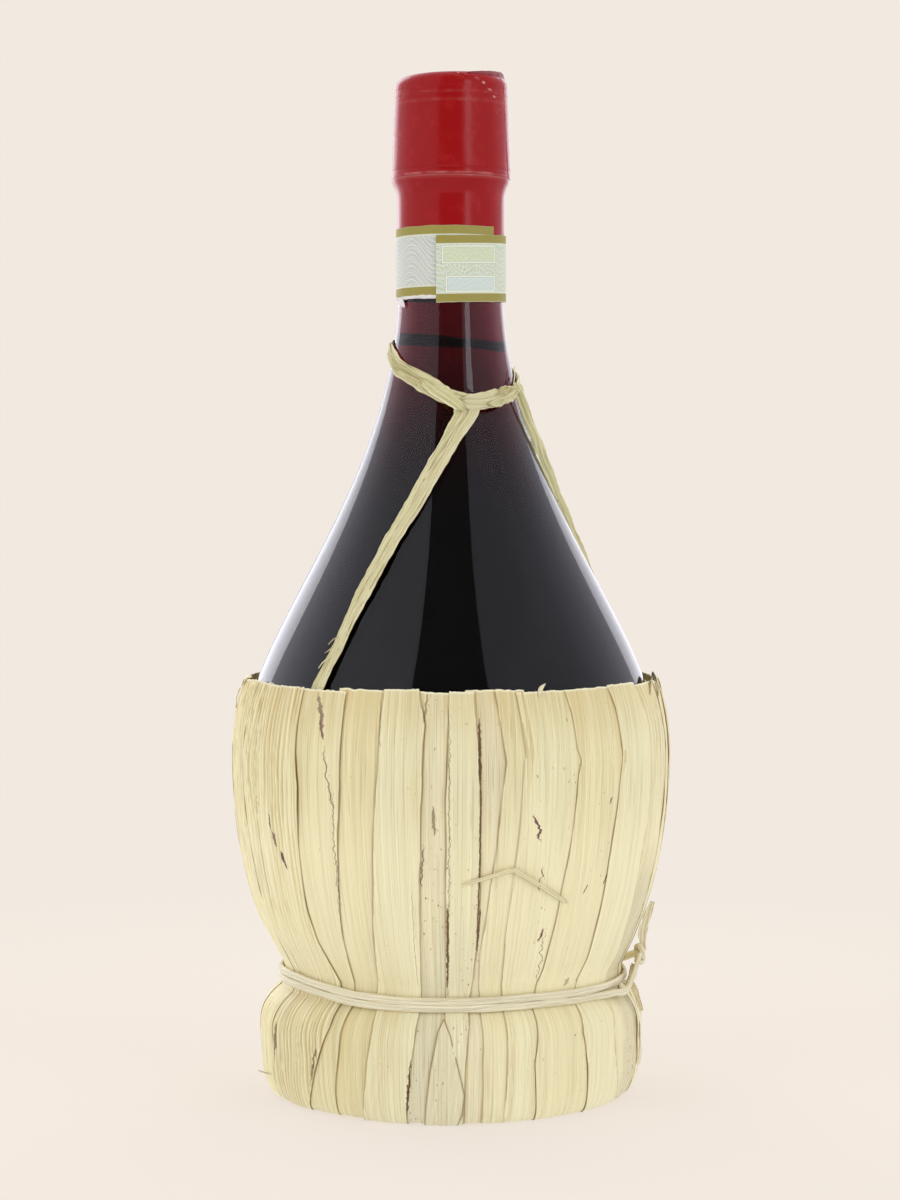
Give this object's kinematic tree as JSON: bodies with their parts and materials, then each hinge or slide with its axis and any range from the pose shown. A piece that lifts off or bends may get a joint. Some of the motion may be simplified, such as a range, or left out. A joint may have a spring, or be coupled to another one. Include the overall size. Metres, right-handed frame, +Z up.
{
  "type": "straw-covered wine flask",
  "caption": "Round-bulbed glass wine flask in a cover of straw blades tied in at the waist, corked and sealed under a lift-off capsule.",
  "frame": {"origin": "centre of the foot on the table", "axes": "+Z up along the bottle's axis towards the capsule; the pictured front faces -Y and its right side +X"},
  "size_m": [0.1106, 0.1106, 0.2553],
  "materials": {
    "glass": "clear, slightly grey, smooth",
    "wine": "dark red liquid",
    "cork": "matt, pitted",
    "capsule_film": "glossy shrunk film",
    "paper": "matt printed paper",
    "raffia": "dry twisted leaf strip",
    "straw": "dry leaf blade, satin",
    "sedge": "packed dry leaf"
  },
  "bodies": {
    "flask": {"glass_flask": "glass", "wine": "wine", "capsule_skirt": "capsule_film", "neck_strip": "paper", "neck_loop": "raffia", "loop_hitch": "raffia", "front_brace_upper": "raffia", "front_brace_lower": "raffia", "side_brace": "raffia", "side_hitch": "raffia", "binding_cord": "raffia", "foot_ring": "sedge", "base_pad": "sedge", "waist_tie": "raffia", "waist_knot": "raffia", "tail_up": "raffia", "tail_down": "raffia", "stray_blade": "straw", "leaf_01": "straw", "leaf_02": "straw", "leaf_03": "straw", "leaf_04": "straw", "leaf_05": "straw", "leaf_06": "straw", "leaf_07": "straw", "leaf_08": "straw", "leaf_09": "straw", "leaf_10": "straw", "leaf_11": "straw", "leaf_12": "straw", "leaf_13": "straw", "leaf_14": "straw", "leaf_15": "straw", "leaf_16": "straw", "leaf_17": "straw", "leaf_18": "straw", "leaf_19": "straw", "leaf_20": "straw", "leaf_21": "straw", "leaf_22": "straw", "leaf_23": "straw", "leaf_24": "straw", "leaf_25": "straw", "leaf_26": "straw", "leaf_27": "straw", "leaf_28": "straw", "leaf_29": "straw", "leaf_30": "straw", "leaf_31": "straw", "leaf_32": "straw", "leaf_33": "straw", "leaf_34": "straw"},
    "stopper": {"cork": "cork"},
    "capsule": {"capsule_cap": "capsule_film", "capsule_disc": "capsule_film"}
  },
  "joints": [
    {"name": "cork_pull", "type": "slide", "parent": "flask", "child": "stopper", "axis": [0, 0, 1], "range_m": [0, 0.06]},
    {"name": "capsule_lift", "type": "slide", "parent": "stopper", "child": "capsule", "axis": [0, 0, 1], "range_m": [0, 0.04]}
  ]
}
